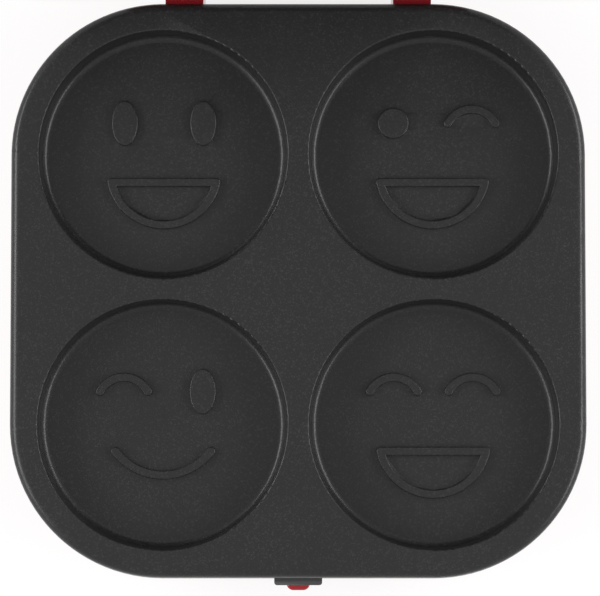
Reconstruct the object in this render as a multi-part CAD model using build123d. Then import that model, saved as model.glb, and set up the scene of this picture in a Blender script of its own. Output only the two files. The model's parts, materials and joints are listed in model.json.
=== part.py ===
from build123d import *
import os
from math import radians, sqrt, tan

# Cooking plates
plate_side = 241.0
well_edge = 12.0
well_web = 9.0
well_depth = 11.0
recess_depth = 6.0
well_draft = 6.0
casting = 3.0
skirt_height = 9.0
skirt_draft = 4.0
rim_round = 4.0
well_round = 1.0
floor_round = 3.0
cup_round = 5.0
plate_gap = 0.35

# Raised faces on the floors of the lower wells
relief_height = 2.0
relief_stroke = 3.6
relief_round = 0.6
eye_side = 16.5
eye_up = 14.0
eye_width = 11.0
eye_length = 19.0
round_eye = 13.0
wink_span = 20.0
wink_rise = 6.0
mouth_down = 11.0
grin_width = 44.0
grin_drop = 18.0
smile_width = 40.0
smile_drop = 10.0

# Housings
foot_height = 6.0
shell_height = 35.0
shell_inset = 1.0
shell_draft = 5.0
shell_wall = 2.4
shell_round = 22.0
lid_height = 39.0
lid_round = 14.0
crown_radius = 700.0
boss_diameter = 11.0
post_diameter = 9.0
post_inset = 28.5
hole_spare = 1.0

# Bottom cover and feet
cover_inset = 45.5
cover_corner = 34.0
cover_lap = 8.0
cover_thickness = 2.2
cover_screw_along = 40.0
cover_boss = 7.0
cover_boss_height = 7.0
vent_width = 4.0
vent_length = 40.0
vent_pitch = 11.0
vent_count = 7
vent_row = 32.0
foot_diameter = 16.0
foot_flare = 1.0
foot_round = 0.8
foot_gap = 7.5
foot_stem = 5.0
foot_barb = 7.0
foot_barb_height = 2.5
foot_behind_hinge = 2.0

# Hinges
hinge_behind = 11.5
knuckle_radius = 8.0
tower_centre = 48.0
tower_width = 16.0
tower_length = 32.0
tower_depth = 16.0
tower_back_wall = 3.4
tower_round = 4.0
side_gap = 0.4
arm_width = 17.0
arm_back = 2.0
arm_rise = 32.0
arm_root = 8.0
arm_slope = 16.0
arm_round = 5.0
pin_diameter = 6.5
pin_bore = 4.2
pin_head = 9.0
pin_head_thickness = 1.0
pin_support = 6.0
pin_reach = 8.3
pin_clearance = 0.05
stop_clearance = 0.3
stop_width = 8.0
stop_depth = 5.0
stop_height = 12.0
stop_inset = 1.0
stop_round = 1.5
channel_width = 6.0
channel_skin = 0.6
channel_step = 3.4
channel_bend = 10.0

# Front catch, lip, handle and latch
catch_width = 20.0
catch_reach = 2.9
catch_height = 10.0
catch_below_skirt = 0.8
catch_root = 6.0
catch_bevel = 1.6
catch_round = 1.2
catch_skin = 1.0
lip_root = 20.0
lip_tip = 9.0
lip_reach = 5.6
lip_thickness = 3.0
lip_height = 9.0
handle_width = 78.0
handle_thickness = 13.0
handle_reach = 19.0
handle_above_seam = 2.2
handle_round = 5.0
handle_taper = 5.0
handle_corner = 9.0
handle_screw_side = 27.0
latch_width = 20.0
latch_thickness = 3.0
latch_knuckle = 8.0
latch_behind_tip = 9.5
latch_pin_diameter = 3.0
latch_pin_grip = 6.0
latch_slot_gap = 0.4
hook_thickness = 3.4
hook_gap = 0.4
hook_reach = 2.8
hook_lead_in = 1.6
thumb_reach = 5.0
thumb_thickness = 2.2
thumb_rise = 6.0
latch_rest_angle = 25.0

# Heating elements
heater_diameter = 6.5
heater_bend = 28.0
heater_end_bend = 10.0
heater_end_side = 12.0
heater_end_run = 17.0
heater_gap = 0.05
terminal_diameter = 3.4
terminal_length = 12.0
clamp_along = 18.0
clamp_length = 28.0
clamp_width = 10.0
clamp_thickness = 1.2
clamp_boss = 7.0
clamp_boss_side = 10.0
shield_inset = 20.5
shield_corner = 50.0
shield_thickness = 0.8
shield_rim = 5.0
shield_hole = 64.0
shield_clearance = 3.0

# Screws
screw_shank = 3.4
screw_head = 6.4
screw_head_height = 2.2
screw_clearance = 0.1
small_shank = 2.6
small_head = 5.0
small_head_height = 1.6
small_screw_grip = 4.0
screw_sink = 1.3
screw_seat_gap = 0.05
cross_width = 0.9
screw_grip = 10.0

# Thermostat, fuse and wiring
thermostat_diameter = 16.0
thermostat_height = 9.0
thermostat_flange = 30.0
thermostat_flange_width = 12.0
thermostat_sheet = 1.0
thermostat_round = 0.8
thermostat_seat = 5.0
thermostat_screw_place = 11.0
blade_side = 5.0
blade_length = 6.4
blade_width = 3.0
blade_thickness = 2.4
fuse_diameter = 4.4
fuse_length = 18.0
fuse_side = 14.0
clip_length = 10.0
clip_wall = 1.8
block_length = 26.0
block_depth = 12.0
block_height = 12.0
block_round = 1.0
block_side = 24.0
block_inset = 36.5
lid_block_inset = 54.5
core_side = 6.0
lid_block_height = 9.0
gland_height = 19.0
gland_inset = 1.5
gland_seat = 8.0
gland_tail = 7.0
gland_flange = 18.0
gland_body = 11.0
gland_bore = 7.0
gland_boss = 22.0
gland_proud = 2.5
gland_round = 1.0
gland_nut = 15.0
gland_nut_length = 5.0
lead_diameter = 2.0
link_diameter = 3.2

# Indicator lamps
lens_diameter = 6.0
lens_flange = 8.4
lens_flange_thickness = 1.0
lens_side = 9.0
lens_inset = 46.5
lens_proud = 1.0
lamp_diameter = 4.6
lamp_length = 9.0
lamp_gap = 1.0
holder_width = 42.0
holder_depth = 12.0
holder_post_side = 16.6
holder_post = 5.0
holder_thickness = 2.0
holder_corner = 2.0

# Places worked out from the sizes above
half_side = plate_side / 2
well_diameter = half_side - well_edge - well_web / 2
well_pitch = well_diameter + well_web
corner_radius = half_side - well_pitch / 2
skirt_flare = skirt_height * tan(radians(skirt_draft))
shell_top = foot_height + shell_height
plate_top = shell_top + skirt_height
lid_face = plate_top + plate_gap
lid_seam = lid_face + skirt_height
lid_top = lid_seam + lid_height
shell_half = half_side - shell_inset
floor_top = foot_height + shell_wall
hinge_y = half_side + hinge_behind
hinge_z = plate_top
hinge_axis = Axis((0, hinge_y, hinge_z), (1, 0, 0))
tower_front = hinge_y - tower_length
tower_back = hinge_y + tower_depth
tower_inner = tower_centre - tower_width / 2
tower_outer = tower_centre + tower_width / 2
arm_inner = tower_outer + side_gap
arm_outer = arm_inner + arm_width
cover_side = plate_side - 2 * cover_inset
foot_reach = cover_corner + foot_gap + foot_diameter / 2
front_foot_place = cover_side / 2 - cover_corner + foot_reach / sqrt(2)
foot_behind = hinge_y + foot_behind_hinge
cover_screw_side = (cover_side - cover_lap) / 2
catch_front = half_side + catch_reach
catch_top = shell_top - catch_below_skirt
catch_bottom = catch_top - catch_height
handle_bottom = lid_seam + handle_above_seam
handle_top = handle_bottom + handle_thickness
handle_front = shell_half + handle_reach
latch_y = -(handle_front - latch_behind_tip)
latch_z = (handle_bottom + handle_top) / 2
hook_top = catch_bottom - hook_gap
hook_bottom = hook_top - hook_thickness
well_places = [(x, y) for y in (1, -1) for x in (-1, 1)]
post_place = half_side - post_inset
post_places = [(post_place, 0), (-post_place, 0), (0, post_place), (0, -post_place)]
shield_side = plate_side - 2 * shield_inset
plate_screw_seat = foot_height + screw_head_height + screw_sink
block_behind = half_side - block_inset
lid_block_behind = half_side - lid_block_inset
lens_front = half_side - lens_inset
gland_z = foot_height + gland_height
gland_face = half_side - gland_inset
fuse_drop = casting + clip_wall + fuse_diameter / 2
model_front = half_side + lip_reach
model_back = hinge_y + lid_top - hinge_z
to_origin = Pos(0, (model_front - model_back) / 2, 0)


def heater_centre(depth):
    """Height of the element's axis below the cooking face."""
    return -(depth + casting + heater_gap + heater_diameter / 2)


def clamp_seat(depth):
    """Height at which the straps rest on their bosses."""
    return -(depth + casting + heater_diameter + 2 * heater_gap)


def shield_face(depth):
    """Height of the shield's side that faces the element."""
    return clamp_seat(depth) - clamp_thickness - small_head_height - shield_clearance


def block(x_from, x_to, y_from, y_to, z_from, z_to):
    """Box between two corners."""
    size = (x_to - x_from, y_to - y_from, z_to - z_from)
    middle = ((x_from + x_to) / 2, (y_from + y_to) / 2, (z_from + z_to) / 2)
    return Pos(*middle) * Box(*size)


def rod(diameter, z_from, z_to, x=0.0, y=0.0):
    """Upright cylinder."""
    return extrude(Pos(x, y, z_from) * Circle(diameter / 2), z_to - z_from)


def cross_rod(diameter, x_from, x_to, y, z):
    """Cylinder along X."""
    return Pos(x_from, y, z) * extrude(Plane.YZ * Circle(diameter / 2), x_to - x_from)


def deep_rod(diameter, y_from, y_to, x, z):
    """Cylinder along Y."""
    return Pos(x, y_to, z) * extrude(Plane.XZ * Circle(diameter / 2), y_to - y_from)


def side_profile(points, x_from, x_to):
    """Outline in the YZ plane drawn out along X."""
    outline = make_face(Polyline(*points, close=True))
    return Pos(x_from, 0, 0) * extrude(Plane.YZ * outline, x_to - x_from)


def tube(points, diameter, bends):
    """Round lead along straight runs joined by arcs."""
    path = FilletPolyline(*points, radius=bends) if len(points) > 2 else Line(*points)
    return sweep(Plane(path @ 0, z_dir=path % 0) * Circle(diameter / 2), path)


def both_sides(shape):
    """A piece and its mirror image on the other side."""
    return [shape, mirror(shape, Plane.YZ)]


def pan_screw(shank, head, head_height, length):
    """Screw standing on its head, which hangs below the origin."""
    top_edge_round = head_height * 0.45
    cap = fillet(rod(head, -head_height, 0).edges().sort_by(Axis.Z)[0], top_edge_round)
    slot = block(-head * 0.3, head * 0.3, -cross_width / 2, cross_width / 2, -head_height, -head_height / 2)
    return cap + rod(shank, 0, length) - slot - Rot(0, 0, 90) * slot


def sunk_screw(shank, head, length):
    """Countersunk screw whose flat head starts at the origin."""
    cone = Pos(0, 0, head / 4) * Cone(head / 2, 0.01, head / 2)
    slot = block(-head * 0.3, head * 0.3, -cross_width / 2, cross_width / 2, 0, cross_width)
    return cone + rod(shank, 0, length) - slot - Rot(0, 0, 90) * slot


def oval_eye():
    return Ellipse(eye_width / 2, eye_length / 2)


def dot_eye():
    return Circle(round_eye / 2)


def wink():
    lid_line = ThreePointArc((-wink_span / 2, 0), (0, wink_rise), (wink_span / 2, 0))
    return SlotArc(lid_line, relief_stroke)


def smile():
    lip_line = ThreePointArc((-smile_width / 2, 0), (0, -smile_drop), (smile_width / 2, 0))
    return Pos(0, -mouth_down) * SlotArc(lip_line, relief_stroke)


def grin():
    lip = Line((-grin_width / 2, 0), (grin_width / 2, 0))
    jaw = ThreePointArc((grin_width / 2, 0), (0, -grin_drop), (-grin_width / 2, 0))
    mouth = make_face([lip, jaw])
    ring = offset(mouth, relief_stroke / 2) - offset(mouth, -relief_stroke / 2)
    return Pos(0, -mouth_down) * ring


def faces():
    """Left eye, right eye and mouth of each well, back row first."""
    return [
        (oval_eye(), oval_eye(), grin()),
        (dot_eye(), wink(), grin()),
        (wink(), oval_eye(), smile()),
        (wink(), wink(), grin()),
    ]


def relief(depth):
    """Raised strokes of a plain smiling face on each well floor."""
    strokes = []
    for (x, y), (left_eye, right_eye, mouth) in zip(well_places, faces()):
        centre = Pos(x * well_pitch / 2, y * well_pitch / 2, -depth)
        for shape in (Pos(-eye_side, eye_up) * left_eye, Pos(eye_side, eye_up) * right_eye, mouth):
            stroke = centre * extrude(shape, relief_height)
            crest = stroke.edges().group_by(Axis.Z)[-1]
            strokes.append(fillet(crest, relief_round))
    return strokes


def well_pocket(depth):
    """Space of one well, with a rounded floor edge."""
    pocket = extrude(Circle(well_diameter / 2), -depth, taper=well_draft)
    return fillet(pocket.edges().group_by(Axis.Z)[0], floor_round)


def well_cup(depth):
    """Outside of one well below the deck."""
    start = casting / 2
    rim = Pos(0, 0, -start) * Circle(well_diameter / 2 + casting)
    cup = extrude(rim, start - depth - casting, taper=well_draft)
    return fillet(cup.edges().group_by(Axis.Z)[0], min(cup_round, depth / 2))


def clamp_places():
    """Middle of each strap, one under each well."""
    return [(x * well_pitch / 2, y * clamp_along) for x, y in well_places]


def clamp_screw_places():
    """Both screws of each strap."""
    return [(x + side * clamp_boss_side, y) for x, y in clamp_places() for side in (-1, 1)]


def cooking_plate(depth):
    """Cast plate, its cooking face up at height 0, its back hollow."""
    top_side = plate_side - 2 * skirt_flare
    top_corner = corner_radius - skirt_flare
    outline = RectangleRounded(top_side, top_side, top_corner)
    plate = extrude(outline, -skirt_height, taper=-skirt_draft)
    plate = fillet(plate.edges().group_by(Axis.Z)[-1], rim_round)
    inner_side = top_side - 2 * casting
    under = Pos(0, 0, -casting) * RectangleRounded(inner_side, inner_side, top_corner - casting)
    plate -= extrude(under, -skirt_height, taper=-skirt_draft)
    for x, y in well_places:
        plate += Pos(x * well_pitch / 2, y * well_pitch / 2) * well_cup(depth)
    for x, y in well_places:
        plate -= Pos(x * well_pitch / 2, y * well_pitch / 2) * well_pocket(depth)
    top_circles = plate.edges().group_by(Axis.Z)[-1].filter_by(GeomType.CIRCLE)
    rims = [edge for edge in top_circles if abs(edge.radius - well_diameter / 2) < 0.01]
    plate = fillet(rims, well_round)
    for x, y in clamp_screw_places():
        plate += rod(clamp_boss, clamp_seat(depth), -(depth + casting / 2), x, y)
        grip_end = clamp_seat(depth) + small_screw_grip + hole_spare
        plate -= rod(small_shank + 2 * screw_clearance, clamp_seat(depth), grip_end, x, y)
    for x, y in post_places:
        plate += rod(post_diameter, shield_face(depth), -casting / 2, x, y)
    return plate


def make_lower_plate():
    plate = cooking_plate(well_depth)
    seat = -(casting + thermostat_seat)
    pad = Pos(0, 0, seat) * SlotOverall(thermostat_flange, thermostat_flange_width, 90)
    plate += extrude(pad, thermostat_seat + casting / 2)
    for side in (-1, 1):
        hole_top = seat + small_screw_grip + hole_spare
        plate -= rod(small_shank + 2 * screw_clearance, seat, hole_top, 0, side * thermostat_screw_place)
    for x, y in post_places:
        post_end = shield_face(well_depth)
        hole_top = post_end + screw_grip + hole_spare
        plate -= rod(screw_shank + 2 * screw_clearance, post_end, hole_top, x, y)
    return plate + relief(well_depth)


def make_upper_plate():
    plate = cooking_plate(recess_depth)
    head = screw_head + 2 * screw_clearance
    for x, y in post_places:
        plate -= rod(screw_shank + 2 * screw_clearance, shield_face(recess_depth), 0, x, y)
        plate -= Pos(x, y, -head / 4) * Rot(180, 0, 0) * Cone(head / 2, 0.01, head / 2)
    return plate


def make_heater(depth):
    """Bent tubular element, open at the back where its ends turn in."""
    half = well_pitch / 2
    start = half - heater_end_run
    bend_points = [(heater_end_side, start), (heater_end_side, half), (half, half), (half, -half)]
    points = bend_points + [(-x, y) for x, y in reversed(bend_points)]
    bends = [heater_end_bend] + [heater_bend] * 4 + [heater_end_bend]
    return Pos(0, 0, heater_centre(depth)) * tube([(x, y, 0) for x, y in points], heater_diameter, bends)


def make_heater_terminals(depth):
    end = well_pitch / 2 - heater_end_run
    pin = deep_rod(terminal_diameter, end - terminal_length, end, heater_end_side, heater_centre(depth))
    return both_sides(pin)


def make_clamps(depth):
    straps = []
    for x, y in clamp_places():
        outline = Pos(x, y, clamp_seat(depth)) * SlotOverall(clamp_length, clamp_width)
        strap = extrude(outline, -clamp_thickness)
        for side in (-1, 1):
            hole = small_shank + 2 * screw_clearance
            top = clamp_seat(depth)
            strap -= rod(hole, top - clamp_thickness, top, x + side * clamp_boss_side, y)
        straps.append(strap)
    return straps


def make_clamp_screws(depth):
    screw = pan_screw(small_shank, small_head, small_head_height, clamp_thickness + small_screw_grip)
    seat = clamp_seat(depth) - clamp_thickness
    return [Pos(x, y, seat) * screw for x, y in clamp_screw_places()]


def make_heat_shield(depth):
    """Sheet tray between the element and the housing."""
    near = shield_face(depth)
    outer = Pos(0, 0, near - shield_thickness) * RectangleRounded(shield_side, shield_side, shield_corner)
    tray = extrude(outer, shield_thickness + shield_rim)
    inside = shield_side - 2 * shield_thickness
    inner = Pos(0, 0, near) * RectangleRounded(inside, inside, shield_corner - shield_thickness)
    tray -= extrude(inner, shield_rim)
    tray -= rod(shield_hole, near - shield_thickness, near)
    for x, y in post_places:
        tray -= rod(screw_shank + 4 * screw_clearance, near - shield_thickness, near, x, y)
    return tray


def in_base(shape):
    """From the plate's own frame to the base."""
    return Pos(0, 0, plate_top) * shape


def in_lid(shape):
    """From the plate's own frame to the shut lid, face down."""
    return Pos(0, 0, lid_face) * mirror(shape, Plane.XY)


def bowl(inset, bottom, rounding):
    """Solid of the base housing, drawn in from its rim."""
    half = shell_half - inset
    rim = Pos(0, 0, shell_top) * RectangleRounded(2 * half, 2 * half, half - well_pitch / 2)
    body = extrude(rim, bottom - shell_top, taper=shell_draft)
    return fillet(body.edges().group_by(Axis.Z)[0], rounding)


def dome(inset, rounding):
    """Solid of the lid housing under its crowned top."""
    half = shell_half - inset
    rim = Pos(0, 0, lid_seam) * RectangleRounded(2 * half, 2 * half, half - well_pitch / 2)
    body = extrude(rim, lid_height + lid_round, taper=shell_draft)
    crown = Pos(0, 0, lid_top - crown_radius) * Rot(0, 0, 30) * Sphere(crown_radius - inset)
    body = body & crown
    return fillet(body.faces().sort_by(Axis.Z)[-1].edges(), rounding)


def crown_at(x, y, inset):
    """Height of the lid's top, or of its inside, at a place."""
    return lid_top - crown_radius + sqrt((crown_radius - inset) ** 2 - x * x - y * y)


def base_wall(z):
    """Distance of the base housing's outer wall from the middle."""
    return shell_half - (shell_top - z) * tan(radians(shell_draft))


def lid_wall(z):
    """Distance of the lid housing's outer wall from the middle."""
    return shell_half - (z - lid_seam) * tan(radians(shell_draft))


def tower():
    """Right hinge housing with the knuckle at its top."""
    shelf = hinge_z - stop_clearance
    knuckle_front = hinge_y - knuckle_radius
    knuckle_back = hinge_y + knuckle_radius
    outline = [
        (tower_front, foot_height),
        (tower_back, foot_height),
        (tower_back, shelf - knuckle_radius),
        (knuckle_back, shelf),
        (knuckle_front, shelf),
        (knuckle_front, shell_top),
        (tower_front, shell_top),
    ]
    face = make_face(Polyline(*outline, close=True))
    rounded = [v for v in face.vertices() if v.X > knuckle_back - 1]
    face = fillet(rounded, tower_round)
    body = Pos(tower_inner, 0, 0) * extrude(Plane.YZ * face, tower_width)
    back = body.edges().filter_by(Axis.Z).sort_by(Axis.Y)[-2:]
    body = fillet(back, tower_round / 2)
    body += cross_rod(2 * knuckle_radius, tower_inner, tower_outer, hinge_y, hinge_z)
    stop_top = hinge_z - arm_back - stop_clearance
    outer_end = tower_outer + stop_width
    stop_back = tower_back - stop_inset
    stop_front = stop_back - stop_depth
    stop = block(tower_centre, outer_end, stop_front, stop_back, stop_top - stop_height, stop_top)
    return body + fillet(stop.edges().filter_by(Axis.Y).sort_by(Axis.X)[-2:], stop_round)


def tower_space():
    """Hollow of the right hinge housing and its pin hole."""
    wall_inner = tower_inner + shell_wall
    wall_outer = tower_outer - shell_wall
    wall_back = tower_back - tower_back_wall
    room_top = shell_top - shell_wall - stop_height
    low = block(wall_inner, wall_outer, tower_front, wall_back, floor_top, room_top)
    chimney_half = knuckle_radius - shell_wall
    inner_end = tower_outer - pin_support
    chimney_front = hinge_y - chimney_half
    chimney_back = hinge_y + chimney_half
    high = block(wall_inner, inner_end, chimney_front, chimney_back, floor_top, hinge_z)
    round_top = cross_rod(2 * chimney_half, wall_inner, inner_end, hinge_y, hinge_z)
    hole = cross_rod(pin_diameter, inner_end, tower_outer, hinge_y, hinge_z)
    return low + high + round_top + hole


def front_lip():
    """Short tongue under the catch, for a finger."""
    root = -(shell_half - shell_round)
    tip = -model_front
    middle = foot_height + lip_height
    points = [(-lip_root / 2, root), (lip_root / 2, root), (lip_tip / 2, tip), (-lip_tip / 2, tip)]
    outline = make_face(Polyline(*points, close=True))
    outline = fillet(outline.vertices().sort_by(Axis.Y)[:2], lip_tip / 3)
    tongue = extrude(Pos(0, 0, middle) * outline, lip_thickness)
    return fillet(tongue.edges().group_by(Axis.Z)[-1].sort_by(Axis.Y)[:3], lip_thickness / 3)


def foot_places():
    """Centres of the four feet: two at the front, one under each hinge housing."""
    front = [(side * front_foot_place, -front_foot_place) for side in (-1, 1)]
    return front + [(side * tower_centre, foot_behind) for side in (-1, 1)]


def cover_screw_places():
    return [(x * cover_screw_side, y * cover_screw_along) for x, y in well_places]


def make_base_shell():
    outer = bowl(0, foot_height, shell_round) + front_lip()
    for part in both_sides(tower()):
        outer += part
    shell = outer - bowl(shell_wall, floor_top, shell_round - shell_wall)
    for space in both_sides(tower_space()):
        shell -= space
    opening = cover_side - 2 * cover_lap
    floor_hole = Pos(0, 0, foot_height) * RectangleRounded(opening, opening, cover_corner - cover_lap)
    shell -= extrude(floor_hole, shell_wall)
    gland_back = gland_face - gland_seat
    shell += deep_rod(gland_boss, gland_back, gland_face, 0, gland_z)
    shell -= deep_rod(gland_body + 2 * screw_clearance, gland_back, gland_face, 0, gland_z)
    boss_top = plate_top + shield_face(well_depth) - shield_thickness
    for x, y in post_places:
        shell += rod(boss_diameter, foot_height + shell_wall / 2, boss_top, x, y)
        shell -= rod(screw_head + 4 * screw_clearance, 0, plate_screw_seat, x, y)
        shell -= rod(screw_shank + 2 * screw_clearance, plate_screw_seat, boss_top, x, y)
    for x, y in cover_screw_places():
        boss_end = floor_top + cover_boss_height
        shell += rod(cover_boss, foot_height + shell_wall / 2, boss_end, x, y)
        shell -= rod(small_shank + 2 * screw_clearance, foot_height, boss_end - hole_spare, x, y)
    for x, y in foot_places():
        shell -= rod(foot_stem, 0, floor_top, x, y)
    for side in (-1, 1):
        hole = small_shank + 2 * screw_clearance
        z = (catch_top + catch_bottom) / 2
        shell -= deep_rod(hole, -half_side, -shell_half + 2 * shell_wall, side * catch_width / 4, z)
    return shell


def make_base_cover():
    low = foot_height - cover_thickness
    outline = Pos(0, 0, low) * RectangleRounded(cover_side, cover_side, cover_corner)
    panel = extrude(outline, cover_thickness)
    panel = fillet(panel.edges().group_by(Axis.Z)[0], cover_thickness / 2)
    slot = extrude(Pos(0, 0, low) * SlotOverall(vent_length, vent_width, 90), cover_thickness)
    for row in (-1, 1):
        for number in range(vent_count):
            x = (number - (vent_count - 1) / 2) * vent_pitch
            panel -= Pos(x, row * vent_row, 0) * slot
    for x, y in cover_screw_places():
        panel -= rod(small_shank + 2 * screw_clearance, low, foot_height, x, y)
    return panel


def make_cover_screws():
    grip = cover_thickness + shell_wall + small_screw_grip
    screw = pan_screw(small_shank, small_head, small_head_height, grip)
    low = foot_height - cover_thickness
    return [Pos(x, y, low) * screw for x, y in cover_screw_places()]


def make_plate_screws():
    tip = plate_top + shield_face(well_depth) + screw_grip
    screw = pan_screw(screw_shank, screw_head, screw_head_height, tip - plate_screw_seat)
    return [Pos(x, y, plate_screw_seat) * screw for x, y in post_places]


def make_feet():
    radius = foot_diameter / 2
    sole = Pos(0, 0, foot_height / 2) * Cone(radius - foot_flare, radius, foot_height)
    sole = fillet(sole.edges().group_by(Axis.Z)[0], foot_round)
    barb_middle = floor_top + foot_barb_height / 2
    barb = Pos(0, 0, barb_middle) * Cone(foot_barb / 2, foot_stem * 0.4, foot_barb_height)
    foot = sole + rod(foot_stem, foot_height, floor_top) + barb
    return [Pos(x, y, 0) * foot for x, y in foot_places()]


def make_front_catch():
    half = catch_width / 2
    body = block(-half, half, -catch_front, catch_root - shell_half, catch_bottom, catch_top)
    front = body.edges().filter_by(Axis.X).sort_by(Axis.Y)[:2].sort_by(Axis.Z)
    body = chamfer(front[-1], catch_bevel)
    body = fillet(body.edges().filter_by(Axis.Z).sort_by(Axis.Y)[:2], catch_round)
    body -= bowl(0, foot_height, shell_round)
    z = (catch_top + catch_bottom) / 2
    for side in (-1, 1):
        hole = small_shank + 2 * screw_clearance
        body -= deep_rod(hole, catch_skin - catch_front, catch_root - shell_half, side * catch_width / 4, z)
    return body


def screw_out(screw, x, wall, z):
    """Screw put through a front wall from inside, its head on the wall."""
    return Pos(x, -wall, z) * Rot(90, 0, 0) * screw


def make_catch_screws():
    z = (catch_top + catch_bottom) / 2
    seat = base_wall(z - small_head / 2) - shell_wall - screw_seat_gap
    length = catch_front - seat - catch_skin - 2 * screw_clearance
    screw = pan_screw(small_shank, small_head, small_head_height, length)
    return [screw_out(screw, side * catch_width / 4, seat, z) for side in (-1, 1)]


def make_hinge_pins():
    start = tower_outer - pin_support
    pin = cross_rod(pin_diameter, start, tower_outer + pin_reach, hinge_y, hinge_z)
    pin += cross_rod(pin_head, start - pin_head_thickness, start, hinge_y, hinge_z)
    pin -= cross_rod(pin_bore, start - pin_head_thickness, tower_outer + pin_reach, hinge_y, hinge_z)
    return both_sides(pin)


def make_thermostat():
    seat = -(casting + thermostat_seat)
    outline = Pos(0, 0, seat) * SlotOverall(thermostat_flange, thermostat_flange_width, 90)
    flange = extrude(outline, -thermostat_sheet)
    under = seat - thermostat_sheet
    for side in (-1, 1):
        flange -= rod(small_shank + 2 * screw_clearance, under, seat, 0, side * thermostat_screw_place)
    body_end = under - thermostat_height
    body = rod(thermostat_diameter, body_end, under)
    body = fillet(body.edges().group_by(Axis.Z)[0], thermostat_round)
    for side in (-1, 1):
        blade = Pos(side * blade_side, 0, body_end) * Rectangle(blade_width, blade_thickness)
        body += extrude(blade, -blade_length)
    return in_base(flange + body)


def make_thermostat_screws():
    seat = -(casting + thermostat_seat + thermostat_sheet)
    screw = pan_screw(small_shank, small_head, small_head_height, thermostat_sheet + small_screw_grip)
    return [in_base(Pos(0, side * thermostat_screw_place, seat) * screw) for side in (-1, 1)]


def make_fuse():
    return in_base(deep_rod(fuse_diameter, -fuse_length / 2, fuse_length / 2, -fuse_side, -fuse_drop))


def make_fuse_clip():
    half = fuse_diameter / 2 + clip_wall
    end = clip_length / 2
    body = block(-fuse_side - half, -fuse_side + half, -end, end, -fuse_drop - half, -casting)
    bore = fuse_diameter + 2 * heater_gap
    return in_base(body - deep_rod(bore, -end, end, -fuse_side, -fuse_drop))


def make_terminal_block():
    left = -block_side - block_length / 2
    front = block_behind - block_depth / 2
    body = block(left, left + block_length, front, front + block_depth, floor_top, floor_top + block_height)
    return fillet(body.edges().filter_by(Axis.Z), block_round)


def make_gland():
    front = gland_face - gland_seat - gland_tail
    back = gland_face + gland_proud
    collar = deep_rod(gland_flange, gland_face, back, 0, gland_z)
    collar = fillet(collar.edges().group_by(Axis.Y)[-1], gland_round)
    body = collar + deep_rod(gland_body, front, gland_face, 0, gland_z)
    return body - deep_rod(gland_bore, front, back, 0, gland_z)


def make_gland_nut():
    back = gland_face - gland_seat
    nut = Pos(0, back, gland_z) * extrude(Plane.XZ * RegularPolygon(gland_nut / 2, 6), gland_nut_length)
    return nut - deep_rod(gland_body + 2 * pin_clearance, back - gland_nut_length, back, 0, gland_z)


def lead_height():
    return floor_top + block_height / 2


def make_supply_leads():
    """Two cores from the gland to the terminal block."""
    start = gland_face - gland_seat - gland_tail + 5
    low = lead_height()
    block_back = block_behind + block_depth / 2
    leads = []
    for rise, reach, step in ((-1.6, 6, 9), (1.6, -6, 11)):
        x = -block_side + reach
        points = [
            (0, start, gland_z + rise),
            (0, start - 6, gland_z + rise),
            (x, block_back + step, low + (1.6 + rise) / 2),
            (x, block_back, low + (1.6 + rise) / 2),
        ]
        leads.append(tube(points, lead_diameter, [4, 4]))
    return leads


def make_base_leads():
    """Leads from the terminal block round the thermostat, the fuse and the element."""
    low = lead_height()
    front = block_behind - block_depth / 2
    blade_end = plate_top - casting - thermostat_seat - thermostat_sheet - thermostat_height - blade_length
    element = plate_top + heater_centre(well_depth)
    pin_end = well_pitch / 2 - heater_end_run - terminal_length
    fuse = plate_top - fuse_drop
    turn = low + 3
    near_x = core_side - block_side
    far_x = -core_side - block_side
    to_thermostat = [
        (near_x, front, low),
        (near_x, 30, low),
        (-blade_side, 0, low),
        (-blade_side, 0, blade_end),
    ]
    from_thermostat = [
        (blade_side, 0, blade_end),
        (blade_side, 0, turn),
        (heater_end_side, pin_end - 9, turn),
        (heater_end_side, pin_end - 9, element),
        (heater_end_side, pin_end, element),
    ]
    to_fuse = [
        (-heater_end_side, pin_end, element),
        (-heater_end_side, pin_end - 8, element),
        (-fuse_side, pin_end - 8, fuse),
        (-fuse_side, fuse_length / 2, fuse),
    ]
    from_fuse = [
        (-fuse_side, -fuse_length / 2, fuse),
        (-fuse_side, -fuse_length / 2 - 9, fuse),
        (-fuse_side, -fuse_length / 2 - 9, low),
        (far_x, 40, low),
        (far_x, front, low),
    ]
    return [
        tube(to_thermostat, lead_diameter, [8, 4]),
        tube(from_thermostat, lead_diameter, [4, 4, 4]),
        tube(to_fuse, lead_diameter, [3, 3]),
        tube(from_fuse, lead_diameter, [4, 6, 8]),
    ]


def make_base_link():
    """Sleeved pair from the terminal block up the left hinge housing."""
    low = lead_height()
    start = -block_side - block_length / 2
    x = -(tower_inner + shell_wall + link_diameter / 2 + 0.3)
    points = [
        (start, block_behind, low),
        (x, block_behind, low),
        (x, hinge_y - 8, low),
        (x, hinge_y, low + 12),
        (x, hinge_y, hinge_z),
        (-tower_outer - side_gap / 2, hinge_y, hinge_z),
    ]
    return tube(points, link_diameter, [5, 10, 8, 4.4])


def arm():
    """Right arm of the lid with its knuckle, drawn with the lid shut."""
    front = hinge_y - knuckle_radius
    under_wall = lid_seam + shell_inset
    back = hinge_y + arm_back
    top = hinge_z + arm_rise
    inside = shell_half - arm_root
    points = [
        (front, hinge_z),
        (front, under_wall),
        (inside, under_wall),
        (inside, top),
        (front - 1, top),
        (back, top - arm_slope),
        (back, hinge_z),
    ]
    web = side_profile(points, arm_inner, arm_outer)
    crest = [edge for edge in web.edges().filter_by(Axis.X) if edge.center().Z > hinge_z + 12]
    crest = [edge for edge in crest if edge.center().Y > front - 2]
    web = fillet(crest, arm_round)
    knuckle = cross_rod(2 * knuckle_radius, arm_inner, arm_outer, hinge_y, hinge_z)
    return web + knuckle


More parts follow.
